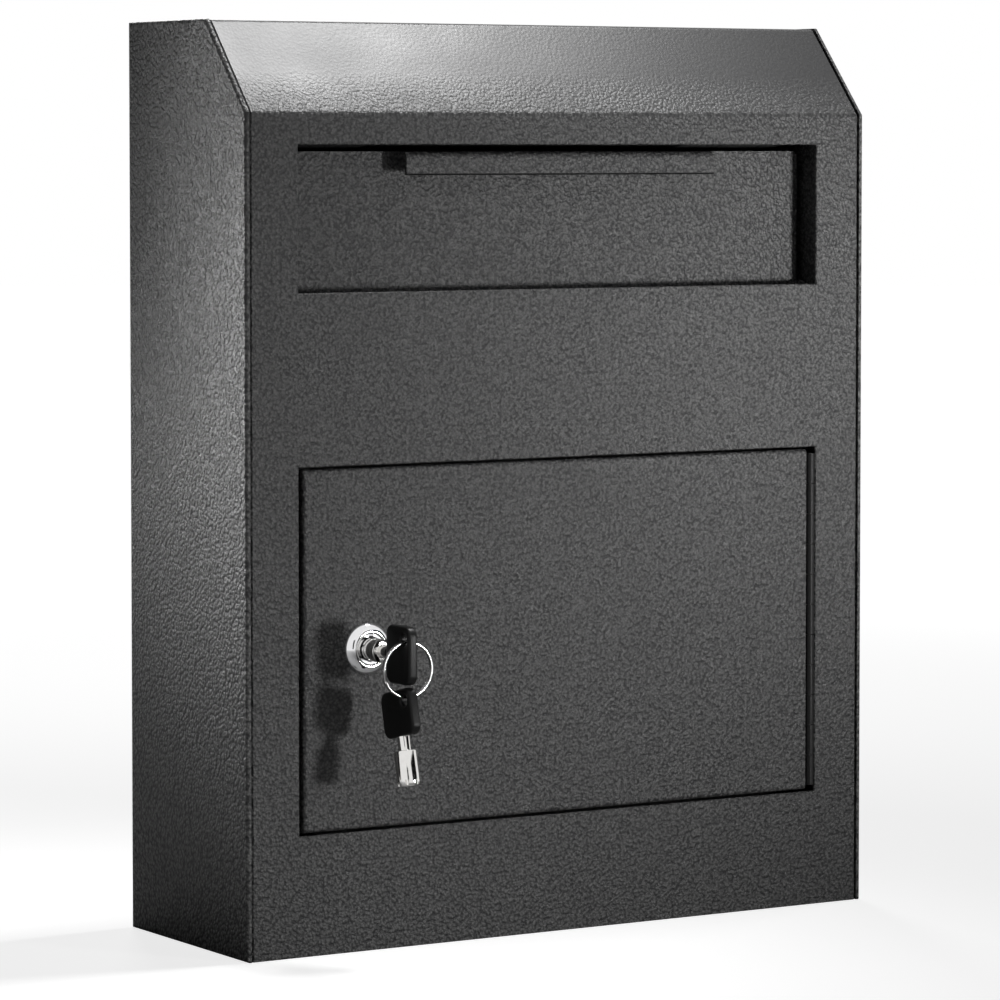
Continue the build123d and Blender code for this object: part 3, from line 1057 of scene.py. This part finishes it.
@dataclass(frozen=True)
class Card:
    """A black card that shows only in reflections, as a studio puts beside a black object."""

    name: str
    place: Point
    aim: Point
    width: float
    height: float

    def build(self) -> bpy.types.Object:
        """Builds the card.

        Returns:
            The card.
        """
        mesh = bpy.data.meshes.new(self.name)
        half, rise = self.width / 2, self.height / 2
        corners = [(-half, -rise, 0), (half, -rise, 0), (half, rise, 0), (-half, rise, 0)]
        mesh.from_pydata(corners, [], [(0, 1, 2, 3)])
        board = NodeBoard(self.name)
        black = board.add("ShaderNodeBsdfDiffuse", Color=(0, 0, 0, 1))
        board.join(black.outputs["BSDF"], board.output.inputs["Surface"])
        mesh.materials.append(board.material)
        card = bpy.data.objects.new(self.name, mesh)
        card.location = self.place
        card.rotation_mode = "QUATERNION"
        card.rotation_quaternion = (Vector(self.aim) - Vector(self.place)).to_track_quat("-Z", "Y")
        card.visible_camera = False
        card.visible_diffuse = False
        card.visible_transmission = False
        card.visible_shadow = False
        bpy.context.scene.collection.objects.link(card)
        return card


@dataclass
class Studio:
    """Floor, background, lamps and camera."""

    floor_radius: float = 9.0
    floor_sides: int = 96
    floor_colour: Colour = (0.62, 0.62, 0.62)
    floor_near: tuple[float, float] = (0.35, 1.3)
    floor_lift: tuple[float, float] = (0.78, 1.0)
    floor_mirrored: tuple[float, float] = (0.0, 1.0)
    fill: Colour = (0.03, 0.03, 0.031)
    camera_place: Point = (-1.035, -1.675, 0.329)
    camera_turn: float = 31.68
    camera_dip: float = 3.14
    camera_lens: float = 166.0
    camera_sensor: float = 36.0
    camera_shift: float = -0.1
    camera_reach: float = 50.0
    lamps: tuple[Lamp, ...] = (
        Lamp("key_lamp", (0.5, -1.1, 0.12), (0.12, -0.05, 0.28), 0.14, 0.16, 40, 0.31),
        Lamp("key_lamp_high", (0.5, -1.1, 0.12), (0.16, -0.05, 0.3), 0.14, 0.16, 26, 0.15),
        Lamp("key_lamp_low", (0.5, -1.1, 0.12), (-0.1, -0.05, 0.08), 0.14, 0.16, 30, 0.13),
        Lamp("hood_lamp", (0.42, -0.04, 1.35), (-0.16, -0.03, 0.36), 0.3, 0.2, 40, 0.85),
        Lamp("side_lamp_high", (-0.5, 0.62, 0.36), (-0.15, -0.45, 0.34), 0.08, 0.2, 26, 0.093),
        Lamp("side_lamp", (-0.5, 0.62, 0.3), (-0.15, -0.45, 0.26), 0.05, 0.2, 28, 0.096),
        Lamp("side_lamp_low", (-0.5, 0.62, 0.22), (-0.15, -0.3, 0.16), 0.1, 0.1, 26, 0.065),
        Lamp("back_lamp", (0.6, 1.6, 0.7), (0.02, 0.05, 0.2), 0.4, 0.4, 60, 0.9),
    )
    cards: tuple[Card, ...] = (
        Card("front_card", (1.5, -2.0, 0.6), (0, 0, 0.2), 2.4, 1.8),
        Card("side_card", (-1.3, 1.6, 0.6), (0, 0, 0.2), 3.2, 2.4),
        Card("lens_card", (-1.25, -2.05, 0.4), (0, 0, 0.15), 0.5, 1.4),
    )

    def build_floor(self) -> bpy.types.Object:
        """Builds the pale floor, a wide disc that fades into the background.

        Returns:
            The floor.
        """
        mesh = bpy.data.meshes.new("floor")
        turns = [FULL_TURN * step / self.floor_sides for step in range(self.floor_sides)]
        rim = [(self.floor_radius * math.cos(turn), self.floor_radius * math.sin(turn), 0)
               for turn in turns]
        mesh.from_pydata(rim, [], [tuple(range(self.floor_sides))])
        floor = bpy.data.objects.new("floor", mesh)
        bpy.context.scene.collection.objects.link(floor)
        board = NodeBoard("floor_paper")
        diffuse = board.add("ShaderNodeBsdfDiffuse", Color=(*self.floor_colour, 1))
        glow = board.add("ShaderNodeEmission", Color=(1, 1, 1, 1))
        path = board.add("ShaderNodeLightPath")
        reach = board.reach()
        lift = board.span(reach, self.floor_near, self.floor_lift)
        seen = board.product(lift, path.outputs["Is Camera Ray"])
        bounced = board.sum(path.outputs["Is Glossy Ray"], path.outputs["Is Transmission Ray"])
        mirrored = board.product(board.span(reach, self.floor_near, self.floor_mirrored), bounced)
        board.join(board.sum(seen, mirrored), glow.inputs["Strength"])
        both = board.add("ShaderNodeAddShader")
        board.join(diffuse.outputs["BSDF"], both.inputs[0])
        board.join(glow.outputs["Emission"], both.inputs[1])
        board.join(both.outputs["Shader"], board.output.inputs["Surface"])
        mesh.materials.append(board.material)
        return floor

    def build_world(self) -> None:
        """Makes the background white where it shows or is mirrored, and a weak fill elsewhere."""
        world = bpy.data.worlds.new("backdrop")
        world.use_nodes = True
        bpy.context.scene.world = world
        tree = world.node_tree
        tree.nodes.clear()
        out = tree.nodes.new("ShaderNodeOutputWorld")
        path = tree.nodes.new("ShaderNodeLightPath")
        fill = tree.nodes.new("ShaderNodeBackground")
        fill.inputs["Color"].default_value = (*self.fill, 1)
        white = tree.nodes.new("ShaderNodeBackground")
        white.inputs["Color"].default_value = (1, 1, 1, 1)
        shader = fill
        for ray in ("Is Camera Ray", "Is Glossy Ray", "Is Transmission Ray"):
            mix = tree.nodes.new("ShaderNodeMixShader")
            tree.links.new(path.outputs[ray], mix.inputs["Fac"])
            tree.links.new(shader.outputs[0], mix.inputs[1])
            tree.links.new(white.outputs["Background"], mix.inputs[2])
            shader = mix
        tree.links.new(shader.outputs[0], out.inputs["Surface"])

    def build_camera(self) -> bpy.types.Object:
        """Builds the camera and makes it the scene's.

        Returns:
            The camera.
        """
        data = bpy.data.cameras.new("camera")
        data.lens = self.camera_lens
        data.sensor_width = self.camera_sensor
        data.shift_y = self.camera_shift
        data.clip_end = self.camera_reach
        camera = bpy.data.objects.new("camera", data)
        camera.location = self.camera_place
        upright = 90 - self.camera_dip
        camera.rotation_euler = (math.radians(upright), 0, math.radians(-self.camera_turn))
        bpy.context.scene.collection.objects.link(camera)
        bpy.context.scene.camera = camera
        return camera

    def build(self) -> None:
        """Makes the whole studio."""
        self.build_floor()
        self.build_world()
        for item in (*self.lamps, *self.cards):
            item.build()
        self.build_camera()
        bpy.context.scene.view_settings.view_transform = "Standard"


def main() -> None:
    """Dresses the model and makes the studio."""
    logging.basicConfig(level=logging.INFO, format="%(name)s: %(message)s")
    wardrobe = Wardrobe()
    for assembly in (Cabinet(), Hopper(), Door(), Lock(), Keys()):
        assembly.dress(wardrobe)
    Studio().build()


if __name__ == "__main__":
    main()
